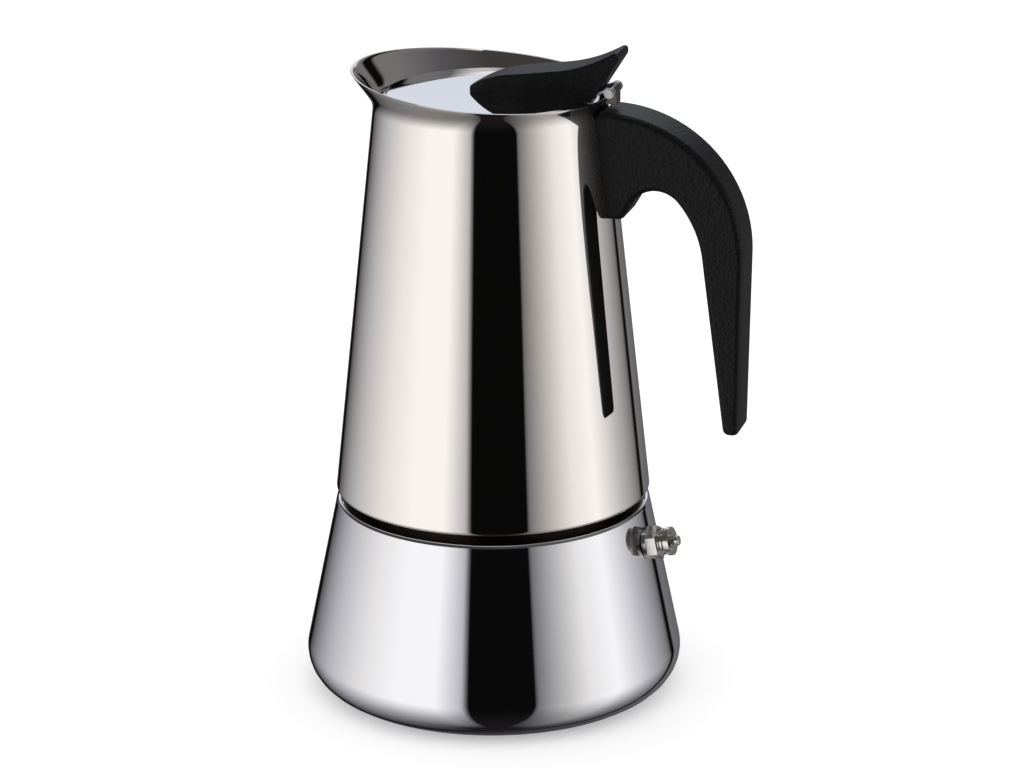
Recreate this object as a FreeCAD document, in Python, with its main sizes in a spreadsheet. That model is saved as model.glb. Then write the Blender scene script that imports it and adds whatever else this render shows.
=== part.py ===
import FreeCAD, Part
import math
import os
import re
import Sketcher

# Stovetop moka pot in stainless steel with a black handle and lid knob.
# Millimetres, +Z up. The origin is the middle of the boiler's foot, the handle points to +X
# and the spout to -X, so the pot is symmetric about the XZ plane apart from its valve and thread.

SIZES = [
    ("boiler_foot_radius", 54.8, "boiler wall carried down to the table, before the foot is rounded"),
    ("boiler_top_radius", 43.4, "boiler wall at the shoulder"),
    ("boiler_height", 54.7, "table to shoulder"),
    ("boiler_wall", 1.0, "sheet thickness of boiler and neck"),
    ("foot_round", 10.3, "rounding between foot and wall"),
    ("shoulder_round", 1.2, "rounding of the shoulder's outer edge"),
    ("shoulder_width", 6.8, "edge of the shoulder to the outside of the neck"),
    ("neck_height", 11.3, "shoulder to mouth"),
    ("thread_lead", 4.0, "rise of the thread in one turn"),
    ("thread_turns", 1.75, "turns of each ridge"),
    ("thread_depth", 1.0, "height of a ridge"),
    ("thread_foot", 2.0, "width of a ridge at its root"),
    ("thread_crest", 1.0, "width of a ridge at its crest"),
    ("thread_start", 2.6, "shoulder to the middle of the neck's ridge, where it begins"),
    ("thread_clearance", 0.3, "radial room between crest and root"),
    ("thread_overlap", 0.2, "how far a ridge is rooted in its wall"),
    ("basket_room", 0.5, "radial room of the coffee basket in the neck"),
    ("basket_wall", 0.7, "sheet thickness of basket and stem"),
    ("basket_depth", 22.0, "mouth of the neck to the basket's ledge"),
    ("basket_cone", 6.0, "height of the cone under the ledge"),
    ("flange_inset", 0.3, "basket's rim, which rests on the neck, inside the neck's edge"),
    ("flange_thickness", 0.8, "thickness of that rim"),
    ("ledge_width", 1.0, "ledge that carries the sieve"),
    ("stem_radius", 4.5, "outside of the stem"),
    ("stem_clearance", 5.0, "stem's mouth above the table"),
    ("socket_length", 5.0, "socket that holds the stem under the basket"),
    ("press_clearance", 0.05, "radial room in a pressed or soldered joint"),
    ("sieve_thickness", 0.6, "thickness of the basket's sieve"),
    ("sieve_hole", 0.8, "radius of the holes in sieve and filter plate"),
    ("sieve_pitch", 6.4, "spacing of the rings of holes"),
    ("gasket_inset", 0.5, "edge of the gasket inside the neck's edge"),
    ("gasket_width", 7.1, "gasket, edge to bore"),
    ("gasket_thickness", 3.0, "height of the gasket"),
    ("filter_seat", 2.4, "ledge of the gasket that the filter plate covers"),
    ("filter_thickness", 0.8, "thickness of the filter plate"),
    ("filter_drop", 1.1, "depth of the step in the gasket that holds the plate"),
    ("groove_gap", 2.3, "dark gap between boiler shoulder and jug"),
    ("jug_overhang", 0.2, "jug wall at its lower edge, beyond the boiler's top"),
    ("jug_neck_radius", 31.7, "jug wall where the lip begins to flare"),
    ("jug_wall_height", 110.0, "lower edge to the start of the flare"),
    ("jug_wall", 0.9, "sheet thickness of the jug"),
    ("skirt_round", 1.2, "rounding of the lower edge"),
    ("skirt_return", 2.8, "width of the lower edge turned in"),
    ("lip_blend", 2.2, "half height of the bend between wall and lip"),
    ("lip_flare", 0.708, "outward run of the lip for each unit of rise"),
    ("lip_lean", 0.15, "shift of the lip towards the spout for each unit of rise"),
    ("lip_reach", 12.0, "height of the lip before it is trimmed"),
    ("trim_hinge", 2.7, "rim above the start of the flare, at the hinge end of the trimming curve"),
    ("trim_middle", 4.9, "rim above the start of the flare, over the axis"),
    ("trim_spout", 9.0, "rim above the start of the flare, at the spout end of the trimming curve"),
    ("floor_thickness", 1.2, "sheet thickness of the jug's floor"),
    ("floor_land", 2.6, "inner edge of the floor's flat ring, inside the neck's edge"),
    ("floor_rise", 3.0, "height of the dome towards the riser"),
    ("crown_margin", 0.5, "flat top of that dome beyond the riser's flange"),
    ("weld_gap", 0.1, "room left for the weld between floor and wall"),
    ("collar_wall", 1.5, "thickness of the threaded collar"),
    ("collar_flange", 0.8, "thickness of the collar's foot"),
    ("riser_foot_radius", 9.0, "outside of the riser at its foot"),
    ("riser_top_radius", 6.4, "outside of the riser under its cap"),
    ("riser_height", 46.0, "length of the tapered riser"),
    ("riser_wall", 0.8, "wall of the riser"),
    ("riser_flange", 2.5, "width of the riser's foot flange"),
    ("spigot_height", 8.0, "length of the riser that the cap covers"),
    ("cap_height", 9.0, "spigot to the cap's crown"),
    ("cap_round", 4.0, "rounding of the cap's crown"),
    ("window_width", 6.0, "width of the cap's outlets"),
    ("window_height", 4.0, "height of the cap's outlets"),
    ("handle_width", 15.4, "handle across, at its top"),
    ("handle_end_width", 12.6, "handle across, at its tip"),
    ("handle_round", 1.7, "rounding of the handle's long edges"),
    ("handle_arc_radius", 38.6, "bow of the handle's outside"),
    ("bow_offset", 1.3, "middle of that bow, beyond the jug's neck"),
    ("handle_length", 88.2, "top of the handle to its tip"),
    ("handle_reach", 37.8, "outside of the tip, beyond the middle of the bow"),
    ("handle_tip_depth", 4.4, "thickness of the tip"),
    ("handle_tip_round", 1.9, "rounding of the tip"),
    ("arch_radius", 8.1, "top of the finger arch under the handle's root"),
    ("arch_turn", 50.0, "how far that bend goes towards the tip, in degrees"),
    ("inside_radius", 29.3, "wider bend from there to the straight inside of the handle"),
    ("heel_radius", 7.0, "bend of the arch towards the root"),
    ("root_lean", 30.0, "lean of the root's face below the arch, in degrees"),
    ("arch_offset", 14.3, "middle of the arch, beyond the middle of the bow"),
    ("arch_cover", 20.9, "top of the handle to the top of the arch"),
    ("block_drop", 8.5, "lower face of the handle's root, below the top of the arch"),
    ("block_round", 2.2, "rounding of that corner"),
    ("bracket_below", 10.0, "bracket below its lug"),
    ("bracket_above", 5.0, "bracket above its lug"),
    ("bracket_width", 9.0, "bracket across"),
    ("bracket_thickness", 2.0, "plate of the bracket"),
    ("lug_thickness", 4.0, "thickness of the lug"),
    ("lug_margin", 4.0, "lug beyond the axis of its screw"),
    ("socket_clearance", 0.15, "room between bracket and handle"),
    ("screw_radius", 1.6, "shank of the handle screw"),
    ("screw_head_radius", 3.0, "head of the handle screw"),
    ("screw_head_height", 1.8, "height of that head"),
    ("screw_recess", 3.4, "seat of that head above the arch"),
    ("screw_land", 3.0, "handle between the seat and the lug"),
    ("screw_end", 1.0, "shank beyond the lug"),
    ("hinge_offset", 2.4, "hinge axis beyond the jug's neck"),
    ("hinge_rise", 2.5, "hinge axis above the lid"),
    ("hinge_width", 9.6, "hinge across its knuckles"),
    ("knuckle_radius", 1.45, "outside of the knuckles"),
    ("knuckle_middle", 4.4, "length of the jug's knuckle"),
    ("knuckle_gap", 0.3, "room between knuckles"),
    ("pin_radius", 0.8, "hinge pin"),
    ("pin_clearance", 0.05, "running fit of the pin"),
    ("pin_head_radius", 1.15, "riveted heads of the pin"),
    ("pin_head_height", 0.4, "height of those heads"),
    ("leaf_thickness", 0.7, "strip of both hinge leaves"),
    ("leaf_foot", 4.6, "length of the leaf that lies on the lid"),
    ("leaf_inset", 2.2, "bend of that leaf inside the lid's edge"),
    ("base_leaf_drop", 3.6, "length of the jug's leaf below the hinge axis"),
    ("lid_inset", 2.1, "edge of the lid inside the outside of the jug's neck"),
    ("lid_rise", 2.3, "top of the lid above the start of the flare"),
    ("lid_sheet", 0.8, "sheet thickness of the lid"),
    ("lid_depth", 2.2, "height of the lid with its turned edge"),
    ("lid_round", 1.9, "rounding of the lid's edge"),
    ("knob_nose_x", -5.8, "point of the knob, from the axis"),
    ("knob_nose_height", 1.2, "height of the knob at its point"),
    ("knob_nose_round", 1.8, "rounding of that point, seen from above"),
    ("knob_crown_x", 7.5, "where the knob's crown ends and its straight top begins"),
    ("knob_crown_height", 6.45, "height of the knob there"),
    ("knob_waist_x", 19.5, "where the straight top turns up into a hollow"),
    ("knob_waist_height", 8.0, "height of the knob there"),
    ("knob_overhang", 2.7, "end of the knob's thumb piece beyond the hinge axis"),
    ("knob_tip_height", 14.4, "height of that end above the lid"),
    ("knob_tip_depth", 2.8, "height of the end face"),
    ("knob_heel_inset", 0.2, "foot of the knob at the hinge, inside the lid's edge"),
    ("knob_half_width", 7.0, "half width of the knob at its widest"),
    ("knob_wide_x", 12.0, "place of its widest point"),
    ("knob_tip_half_width", 5.6, "half width of the thumb piece"),
    ("knob_round", 1.0, "rounding of the knob's upper edges"),
    ("knob_screw_x", 8.0, "first knob screw, from the axis"),
    ("knob_screw_pitch", 12.0, "distance to the second one"),
    ("knob_screw_radius", 1.4, "shank of a knob screw"),
    ("knob_screw_length", 3.2, "shank above the lid"),
    ("knob_head_radius", 2.6, "head of a knob screw"),
    ("knob_head_height", 1.3, "height of that head"),
    ("hole_clearance", 0.15, "radial room of a screw in a plain hole"),
    ("valve_drop", 9.3, "where the valve's axis meets the wall, below the shoulder"),
    ("valve_bearing", -5.5, "turn of the valve from the handle, in degrees"),
    ("valve_shank", 3.0, "radius of the valve's threaded shank"),
    ("valve_shank_length", 4.2, "shank inside the wall"),
    ("washer_radius", 4.4, "edge of the valve's washer"),
    ("washer_thickness", 1.2, "thickness of the washer"),
    ("seat_gap", 0.05, "room between flat washer and round wall"),
    ("valve_hex", 8.3, "hexagon across flats"),
    ("valve_hex_length", 2.9, "length of the hexagon"),
    ("valve_barrel", 3.6, "radius of the ribbed barrel"),
    ("valve_barrel_length", 2.4, "length of the barrel"),
    ("rib_depth", 0.45, "depth of the grooves between the ribs"),
    ("valve_bore", 1.3, "steam way through the shank"),
    ("valve_chamber", 2.6, "radius of the spring chamber"),
    ("valve_seat", 0.6, "seat of the plunger outside the wall"),
    ("nut_hex", 7.5, "inner nut across flats"),
    ("nut_thickness", 2.2, "thickness of the inner nut"),
    ("nut_gap", 0.4, "room between flat nut and round wall"),
    ("cap_disc_radius", 3.95, "edge of the valve's end disc"),
    ("cap_disc_thickness", 1.1, "thickness of the end disc"),
    ("cap_boss_radius", 2.6, "raised middle of the end disc"),
    ("cap_boss_height", 0.35, "height of that middle"),
    ("plunger_stem", 1.0, "radius of the plunger's stem"),
    ("plunger_fit", 0.06, "running fit of the stem in the end disc"),
    ("plunger_head", 2.2, "radius of the plunger's sealing head"),
    ("plunger_head_height", 1.2, "thickness of that head"),
    ("plunger_tip", 1.4, "radius of the plunger's button"),
    ("plunger_tip_height", 1.4, "height of the button"),
    ("plunger_tip_round", 0.4, "rounding of the button"),
    ("plunger_tip_gap", 0.3, "room between button and end disc"),
    ("spring_radius", 1.8, "valve spring to the middle of its wire"),
    ("spring_wire", 0.2, "radius of the spring's wire"),
    ("spring_turns", 4.0, "turns of the valve spring"),
    ("spring_gap", 0.05, "room at each end of the spring"),
]

ALIASES = {name for name, value, note in SIZES}
Vector = FreeCAD.Vector

# Radii, heights and runs that several pieces share, as sheet formulas.
NECK_RADIUS = "(boiler_top_radius - shoulder_width)"
NECK_TOP = "(boiler_height + neck_height)"
BOILER_TAPER = "((boiler_foot_radius - boiler_top_radius) / boiler_height)"
BASKET_RADIUS = f"({NECK_RADIUS} - boiler_wall - basket_room)"
BASKET_FLANGE = f"({NECK_RADIUS} - flange_inset)"
BASKET_LEDGE = f"({NECK_TOP} - basket_depth)"
FLANGE_TOP = f"({NECK_TOP} + flange_thickness)"
GASKET_RADIUS = f"({NECK_RADIUS} - gasket_inset)"
GASKET_BORE = f"({GASKET_RADIUS} - gasket_width)"
FILTER_RADIUS = f"({GASKET_BORE} + filter_seat)"
COLLAR_BORE = f"({NECK_RADIUS} + thread_depth + thread_clearance)"
JUG_FOOT = "(boiler_top_radius + jug_overhang)"
JUG_BOTTOM = "(boiler_height + groove_gap)"
JUG_TAPER = f"(({JUG_FOOT} - jug_neck_radius) / jug_wall_height)"
LIP_START = f"({JUG_BOTTOM} + jug_wall_height)"
TRIM_SPAN = "(jug_neck_radius + lip_reach * (lip_flare + lip_lean))"
FLOOR_BOTTOM = f"({FLANGE_TOP} + gasket_thickness)"
FLOOR_TOP = f"({FLOOR_BOTTOM} + floor_thickness)"
FLOOR_RING = f"({NECK_RADIUS} - floor_land)"
FLOOR_CROWN = "(riser_foot_radius + riser_flange + crown_margin)"
CROWN_TOP = f"({FLOOR_TOP} + floor_rise)"
RISER_TOP = f"({CROWN_TOP} + flange_thickness + riser_height)"
BOW_X = "(jug_neck_radius + bow_offset)"
BOW_HEIGHT = f"({LIP_START} - handle_arc_radius)"
TIP_HEIGHT = f"({LIP_START} - handle_length)"
TIP_OUTER = f"({BOW_X} + handle_reach)"
TIP_INNER = f"({TIP_OUTER} - handle_tip_depth)"
ARCH_X = f"({BOW_X} + arch_offset)"
ARCH_TOP = f"({LIP_START} - arch_cover)"
ARCH_HEIGHT = f"({ARCH_TOP} - arch_radius)"
BLOCK_BOTTOM = f"({ARCH_TOP} - block_drop)"
BLOCK_CORNER = (
    f"({ARCH_X} - heel_radius * cos(root_lean) - tan(root_lean)"
    f" * ({ARCH_TOP} - heel_radius + heel_radius * sin(root_lean) - {BLOCK_BOTTOM}))"
)
SCREW_SEAT = f"({ARCH_TOP} + screw_recess)"
SCREW_LENGTH = "(screw_land + lug_thickness + screw_end)"
LUG_BOTTOM = f"({SCREW_SEAT} + screw_land)"
LUG_END = f"({ARCH_X} + lug_margin)"
BRACKET_TOP = f"({LUG_BOTTOM} + lug_thickness + bracket_above)"
BRACKET_BOTTOM = f"({LUG_BOTTOM} - bracket_below)"
LID_RADIUS = "(jug_neck_radius - lid_inset)"
LID_TOP = f"({LIP_START} + lid_rise)"
LID_UNDER = f"({LID_TOP} - lid_sheet)"
HINGE_X = "(jug_neck_radius + hinge_offset)"
HINGE_HEIGHT = f"({LID_TOP} + hinge_rise)"
LEAF_BEND = f"({LID_RADIUS} - leaf_inset)"
LEAF_SLOPE = f"(hinge_rise / ({HINGE_X} - knuckle_radius - {LEAF_BEND}))"
LEAF_DEPTH = f"(leaf_thickness * sqrt(1 + {LEAF_SLOPE} ^ 2))"
KNOB_HEEL = f"({LID_RADIUS} - knob_heel_inset)"
KNOB_TIP = f"({HINGE_X} + knob_overhang)"
VALVE_HEIGHT = "(boiler_height - valve_drop)"
HEX_START = "(seat_gap + washer_thickness)"
BARREL_START = f"({HEX_START} + valve_hex_length)"
CAP_START = f"({BARREL_START} + valve_barrel_length)"
CAP_END = f"({CAP_START} + cap_disc_thickness + cap_boss_height)"


def jug_radius(height):
    """Formula for the outside of the jug's wall at a height above the table."""
    return f"({JUG_FOOT} - ({height} - {JUG_BOTTOM}) * {JUG_TAPER})"


doc = FreeCAD.newDocument("MokaPot")


def make_sheet():
    """Write each driving dimension and its note into the sheet."""
    sheet = doc.addObject("Spreadsheet::Sheet", "Sizes")
    for row, (name, value, note) in enumerate(SIZES, start=1):
        sheet.set(f"A{row}", str(value))
        sheet.setAlias(f"A{row}", name)
        sheet.set(f"B{row}", note)
    doc.recompute()
    return sheet


sheet = make_sheet()


def size(text):
    """Value of a sheet formula."""
    return float(sheet.evalExpression(text))


def tie(item, field, text):
    """Bind a property to a sheet formula written with bare aliases."""
    formula = re.sub(
        r"[A-Za-z_]+\w*",
        lambda hit: "Sizes." + hit.group() if hit.group() in ALIASES else hit.group(),
        text,
    )
    item.setExpression(field, formula)


def new_body(label):
    body = doc.addObject("PartDesign::Body", label)
    body.Label = label
    return body


def new_sketch(body, plane, lift="0"):
    """Empty sketch on one of the body's own planes, raised along the plane's normal."""
    sketch = body.newObject("Sketcher::SketchObject", body.Label + "_outline")
    support = next(item for item in body.Origin.OriginFeatures if item.Role == plane)
    sketch.AttachmentSupport = [(support, "")]
    sketch.MapMode = "FlatFace"
    sketch.AttachmentOffset = FreeCAD.Placement(Vector(0, 0, size(lift)), FreeCAD.Rotation())
    tie(sketch, "AttachmentOffset.Base.z", lift)
    return sketch


def pin_point(sketch, edge, end, place):
    """Fix one point of a sketch at a pair of formulas."""
    for kind, text in zip(("DistanceX", "DistanceY"), place):
        index = sketch.addConstraint(Sketcher.Constraint(kind, -1, 1, edge, end, size(text)))
        tie(sketch, f"Constraints[{index}]", text)


def point_at(place):
    return Vector(size(place[0]), size(place[1]), 0)


def draw_loop(sketch, corners):
    """Closed outline through corners; a corner given as ("arc", middle) bends the side after it."""
    stops = [corner for corner in corners if corner[0] != "arc"]
    middles = {}
    for corner in corners:
        if corner[0] == "arc":
            middles[last] = corner[1]
        else:
            last = stops.index(corner)
    first = sketch.GeometryCount
    count = len(stops)
    for i, start in enumerate(stops):
        ends = point_at(start), point_at(stops[(i + 1) % count])
        if i in middles:
            sketch.addGeometry(Part.Arc(ends[0], point_at(middles[i]), ends[1]), False)
        else:
            sketch.addGeometry(Part.LineSegment(*ends), False)
    return first, stops, middles


def arc_ends(sketch, edge, start):
    """Which ends of an arc lie at its start and finish, since a sketch arc always runs anticlockwise."""
    found = sketch.getPoint(edge, 1)
    return (1, 2) if found.isEqual(start, 1e-6) else (2, 1)


def outline(sketch, corners):
    """Outline whose every corner, and every arc's middle, is bound to the sheet."""
    first, stops, middles = draw_loop(sketch, corners)
    count = len(stops)
    ends = [arc_ends(sketch, first + i, point_at(stops[i])) for i in range(count)]
    for i in range(count):
        following = (i + 1) % count
        joined = (first + i, ends[i][1], first + following, ends[following][0])
        sketch.addConstraint(Sketcher.Constraint("Coincident", *joined))
    for i, place in enumerate(stops):
        pin_point(sketch, first + i, ends[i][0], place)
    for i, place in middles.items():
        guide = sketch.addGeometry(Part.Point(point_at(place)), True)
        pin_point(sketch, guide, 1, place)
        sketch.addConstraint(Sketcher.Constraint("PointOnObject", guide, 1, first + i))
    return sketch


def ring(sketch, centre, radius):
    """Circle with its centre and radius bound to the sheet."""
    edge = sketch.addGeometry(Part.Circle(point_at(centre), Vector(0, 0, 1), size(radius)), False)
    pin_point(sketch, edge, 3, centre)
    index = sketch.addConstraint(Sketcher.Constraint("Radius", edge, size(radius)))
    tie(sketch, f"Constraints[{index}]", radius)
    return sketch


def hexagon(sketch, across_flats):
    """Hexagon about the origin, corners bound to its width across flats."""
    corners = []
    for i in range(6):
        corner = f"{across_flats} / 2 / cos(30)"
        corners.append((f"{corner} * cos({60 * i})", f"{corner} * sin({60 * i})"))
    return outline(sketch, corners)


def turn(body, corners):
    """Solid turned about the body's Z axis."""
    sketch = outline(new_sketch(body, "XZ_Plane"), corners)
    feature = body.newObject("PartDesign::Revolution", body.Label + "_turned")
    feature.Profile = sketch
    feature.ReferenceAxis = (sketch, ["V_Axis"])
    feature.Angle = 360
    doc.recompute()
    return feature


def turn_away(body, corners):
    """Cut turned about the body's Z axis."""
    sketch = outline(new_sketch(body, "XZ_Plane"), corners)
    feature = body.newObject("PartDesign::Groove", body.Label + "_turned_cut")
    feature.Profile = sketch
    feature.ReferenceAxis = (sketch, ["V_Axis"])
    feature.Angle = 360
    return settle_cut(body, feature)


def pad(body, sketch, length, both_sides=False):
    feature = body.newObject("PartDesign::Pad", body.Label + "_pad")
    feature.Profile = sketch
    feature.SideType = "Symmetric" if both_sides else "One side"
    tie(feature, "Length", length)
    doc.recompute()
    return feature


def settle_cut(body, feature):
    """Recompute a cut and stop if it took nothing away."""
    before = feature.BaseFeature.Shape.Volume
    doc.recompute()
    if feature.Shape.Volume > before - 1e-6:
        raise ValueError(f"{feature.Label} cuts nothing from {body.Label}")
    return feature


def cut(body, sketch, length=None):
    """Cut to both sides of a sketch, right through unless a whole length is given."""
    feature = body.newObject("PartDesign::Pocket", body.Label + "_cut")
    feature.Profile = sketch
    feature.SideType = "Symmetric"
    if length is None:
        feature.Type = "ThroughAll"
    else:
        tie(feature, "Length", length)
    return settle_cut(body, feature)


def round_edges(body, radius, chosen):
    """Fillet the edges of the body's last feature that a test picks."""
    base = body.Tip
    names = [f"Edge{i}" for i, edge in enumerate(base.Shape.Edges, start=1) if chosen(edge)]
    if not names:
        raise ValueError(f"no edge to round on {body.Label}")
    feature = body.newObject("PartDesign::Fillet", body.Label + "_rounded")
    feature.Base = (base, names)
    tie(feature, "Radius", radius)
    doc.recompute()
    return feature


def ring_edge(radius, height):
    """Test for a circular edge about Z with this radius and height."""
    wanted = size(radius), size(height)

    def test(edge):
        curve = edge.Curve
        if not isinstance(curve, Part.Circle):
            return False
        return abs(curve.Radius - wanted[0]) < 1e-4 and abs(curve.Center.z - wanted[1]) < 1e-4

    return test


def cross_edge(x, z):
    """Test for a straight edge along Y that passes this place."""
    wanted = size(x), size(z)

    def test(edge):
        box = edge.BoundBox
        near = abs(box.Center.x - wanted[0]) < 1e-3 and abs(box.Center.z - wanted[1]) < 1e-3
        return near and box.XLength < 1e-3 and box.ZLength < 1e-3

    return test


def thread(body, root, crest, start):
    """Helical ridge on a wall, from its root radius to its crest radius."""
    side = "-" if size(crest) > size(root) else "+"
    buried = f"{root} {side} thread_overlap"
    half_foot = "thread_foot / 2"
    half_crest = "thread_crest / 2"
    corners = [
        (buried, f"{start} - {half_foot}"),
        (root, f"{start} - {half_foot}"),
        (crest, f"{start} - {half_crest}"),
        (crest, f"{start} + {half_crest}"),
        (root, f"{start} + {half_foot}"),
        (buried, f"{start} + {half_foot}"),
    ]
    sketch = outline(new_sketch(body, "XZ_Plane"), corners)
    feature = body.newObject("PartDesign::AdditiveHelix", body.Label + "_thread")
    feature.Profile = sketch
    feature.ReferenceAxis = (sketch, ["V_Axis"])
    feature.Mode = "pitch-turns-angle"
    tie(feature, "Pitch", "thread_lead")
    tie(feature, "Turns", "thread_turns")
    doc.recompute()
    return feature


def valve_place():
    """Frame of the valve: on the boiler's wall, its Z along the wall's outward normal."""
    tilt = math.degrees(math.atan(size(BOILER_TAPER)))
    bearing = FreeCAD.Rotation(Vector(0, 0, 1), size("valve_bearing"))
    lean = FreeCAD.Rotation(Vector(0, 1, 0), 90 - tilt)
    radius = size(f"boiler_top_radius + (boiler_height - {VALVE_HEIGHT}) * {BOILER_TAPER}")
    foot = bearing.multVec(Vector(radius, 0, size(VALVE_HEIGHT)))
    return FreeCAD.Placement(foot, bearing.multiply(lean))


def make_boiler():
    """Pressed boiler with a rounded foot, a threaded neck and a hole for the valve."""
    body = new_body("boiler")
    inner_neck = f"{NECK_RADIUS} - boiler_wall"
    under_shoulder = "boiler_height - boiler_wall"
    turn(body, [
        ("0", "0"),
        ("boiler_foot_radius", "0"),
        ("boiler_top_radius", "boiler_height"),
        (NECK_RADIUS, "boiler_height"),
        (NECK_RADIUS, NECK_TOP),
        (inner_neck, NECK_TOP),
        (inner_neck, under_shoulder),
        ("boiler_top_radius - boiler_wall", under_shoulder),
        ("boiler_foot_radius - boiler_wall", "boiler_wall"),
        ("0", "boiler_wall"),
    ])
    round_edges(body, "foot_round", ring_edge("boiler_foot_radius", "0"))
    inner_foot = ring_edge("boiler_foot_radius - boiler_wall", "boiler_wall")
    round_edges(body, "foot_round - boiler_wall", inner_foot)
    round_edges(body, "shoulder_round", ring_edge("boiler_top_radius", "boiler_height"))
    thread(body, NECK_RADIUS, f"({NECK_RADIUS} + thread_depth)", "(boiler_height + thread_start)")
    hole = body.newObject("PartDesign::SubtractiveCylinder", "boiler_valve_hole")
    tie(hole, "Radius", "valve_shank + hole_clearance")
    tie(hole, "Height", "valve_shank_length * 2")
    inward = FreeCAD.Placement(Vector(0, 0, -size("valve_shank_length")), FreeCAD.Rotation())
    hole.Placement = valve_place().multiply(inward)
    settle_cut(body, hole)
    return body


def make_basket():
    """Coffee basket: a cup with a rim that rests on the neck and a cone that leads to the stem."""
    body = new_body("funnel_basket")
    inside = f"{BASKET_RADIUS} - basket_wall"
    mouth = "stem_radius + press_clearance"
    cone_foot = f"{BASKET_LEDGE} - basket_cone"
    turn(body, [
        (inside, FLANGE_TOP),
        (inside, BASKET_LEDGE),
        (f"{inside} - ledge_width", BASKET_LEDGE),
        (mouth, cone_foot),
        (mouth, f"{cone_foot} - socket_length"),
        (f"{mouth} + basket_wall", f"{cone_foot} - socket_length"),
        (f"{mouth} + basket_wall", f"{cone_foot} - basket_wall"),
        (BASKET_RADIUS, f"{BASKET_LEDGE} - basket_wall"),
        (BASKET_RADIUS, NECK_TOP),
        (BASKET_FLANGE, NECK_TOP),
        (BASKET_FLANGE, FLANGE_TOP),
    ])
    return body


def make_stem():
    """Tube that lifts the water from just above the boiler's floor into the basket."""
    body = new_body("funnel_stem")
    top = f"{BASKET_LEDGE} - basket_cone"
    turn(body, [
        ("stem_radius - basket_wall", "stem_clearance"),
        ("stem_radius", "stem_clearance"),
        ("stem_radius", top),
        ("stem_radius - basket_wall", top),
    ])
    return body


def perforate(body, rings, plate_top):
    """Rings of holes, six more in each ring, around one in the middle."""
    middle = new_sketch(body, "XY_Plane", plate_top)
    cut(body, ring(middle, ("0", "0"), "sieve_hole"))
    for number in range(1, rings + 1):
        sketch = new_sketch(body, "XY_Plane", plate_top)
        hole = cut(body, ring(sketch, (f"sieve_pitch * {number}", "0"), "sieve_hole"))
        pattern = body.newObject("PartDesign::PolarPattern", f"{body.Label}_ring_{number}")
        pattern.Originals = [hole]
        pattern.Axis = (sketch, ["N_Axis"])
        pattern.Angle = 360
        pattern.Occurrences = 6 * number
        body.Tip = pattern
        doc.recompute()


def make_plate(label, radius, bottom, thickness):
    """Round perforated plate."""
    body = new_body(label)
    pad(body, ring(new_sketch(body, "XY_Plane", bottom), ("0", "0"), radius), thickness)
    rings = int(size(f"({radius} - 2 * sieve_hole) / sieve_pitch"))
    perforate(body, rings, f"{bottom} + {thickness}")
    return body


def make_sieve():
    """Sieve at the bottom of the basket, lying on its ledge."""
    edge = f"({BASKET_RADIUS} - basket_wall - press_clearance)"
    return make_plate("funnel_sieve", edge, BASKET_LEDGE, "sieve_thickness")


def make_gasket():
    """Rubber ring between basket and jug, with a step that holds the filter plate."""
    body = new_body("gasket")
    step = f"{FLOOR_BOTTOM} - filter_drop"
    turn(body, [
        (GASKET_BORE, FLANGE_TOP),
        (GASKET_RADIUS, FLANGE_TOP),
        (GASKET_RADIUS, FLOOR_BOTTOM),
        (f"{FILTER_RADIUS} + hole_clearance", FLOOR_BOTTOM),
        (f"{FILTER_RADIUS} + hole_clearance", step),
        (GASKET_BORE, step),
    ])
    return body


def make_filter_plate():
    """Upper filter, held by the gasket under the jug."""
    return make_plate("filter_plate", FILTER_RADIUS, f"({FLOOR_BOTTOM} - filter_drop)", "filter_thickness")


def lip_sections():
    """Rise above the start of the flare and run of the flare, through the bend and up to the top."""
    bend = [-1, -0.5, 0, 0.5, 1]
    sections = [(f"(lip_blend * {u})", f"(lip_blend * {(u + 1) ** 2 / 4})") for u in bend]
    for share in (0.5, 1):
        rise = f"(lip_blend + (lip_reach - lip_blend) * {share})"
        sections.append((rise, rise))
    return sections


def lip_loft(body, kind, inset):
    """Loft of the lip through level circles that grow and lean towards the spout."""
    sketches = []
    for rise, run in lip_sections():
        sketch = new_sketch(body, "XY_Plane", f"{LIP_START} + {rise}")
        radius = f"jug_neck_radius - {rise} * {JUG_TAPER} + {run} * lip_flare - {inset}"
        sketches.append(ring(sketch, (f"-{run} * lip_lean", "0"), radius))
    feature = body.newObject(kind, body.Label + "_lip")
    feature.Profile = sketches[0]
    feature.Sections = sketches[1:]
    doc.recompute()
    return feature


def make_jug_body():
    """Tapered wall with its lower edge turned in and a flared lip that rises to the spout."""
    body = new_body("jug_body")
    seam = f"{LIP_START} - lip_blend"
    edge = f"{JUG_FOOT} - skirt_return"
    turn(body, [
        (edge, JUG_BOTTOM),
        (JUG_FOOT, JUG_BOTTOM),
        (jug_radius(seam), seam),
        (f"{jug_radius(seam)} - jug_wall", seam),
        (f"{JUG_FOOT} - jug_wall", f"{JUG_BOTTOM} + jug_wall"),
        (edge, f"{JUG_BOTTOM} + jug_wall"),
    ])
    round_edges(body, "skirt_round", ring_edge(JUG_FOOT, JUG_BOTTOM))
    inner_edge = ring_edge(f"{JUG_FOOT} - jug_wall", f"{JUG_BOTTOM} + jug_wall")
    round_edges(body, "skirt_round - jug_wall", inner_edge)
    lip_loft(body, "PartDesign::AdditiveLoft", "0")
    lip_loft(body, "PartDesign::SubtractiveLoft", "jug_wall")
    top = f"{LIP_START} + lip_reach * 2"
    trim = new_sketch(body, "XZ_Plane")
    cut(body, outline(trim, [
        (f"-{TRIM_SPAN}", f"{LIP_START} + trim_spout"),
        ("arc", ("0", f"{LIP_START} + trim_middle")),
        (TRIM_SPAN, f"{LIP_START} + trim_hinge"),
        (TRIM_SPAN, top),
        (f"-{TRIM_SPAN}", top),
    ]))
    return body


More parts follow.
